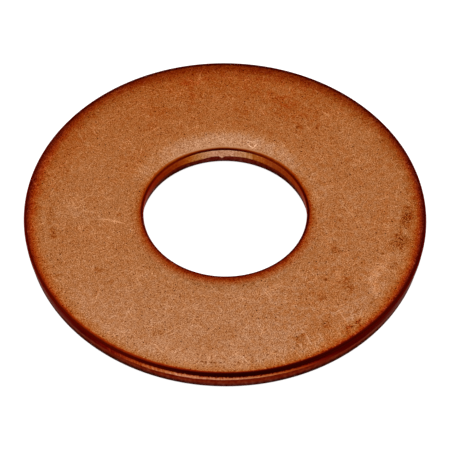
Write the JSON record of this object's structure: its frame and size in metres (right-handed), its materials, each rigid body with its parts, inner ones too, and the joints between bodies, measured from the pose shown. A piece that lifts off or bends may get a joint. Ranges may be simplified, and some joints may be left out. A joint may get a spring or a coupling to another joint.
{
  "type": "copper crush washer",
  "caption": "Flat round copper sealing washer with a plain central bore, rolled upper edges and sheared walls, pressed between a plug or bolt head and its seat.",
  "frame": {"origin": "centre of the lower face, on the washer's axis", "axes": "+Z along the washer's axis, out of the face with the rolled edges"},
  "size_m": [0.035, 0.035, 0.0026],
  "materials": {
    "copper": "tumbled soft copper, lightly scratched and tarnished"
  },
  "bodies": {
    "root": {"washer": "copper"}
  },
  "joints": []
}
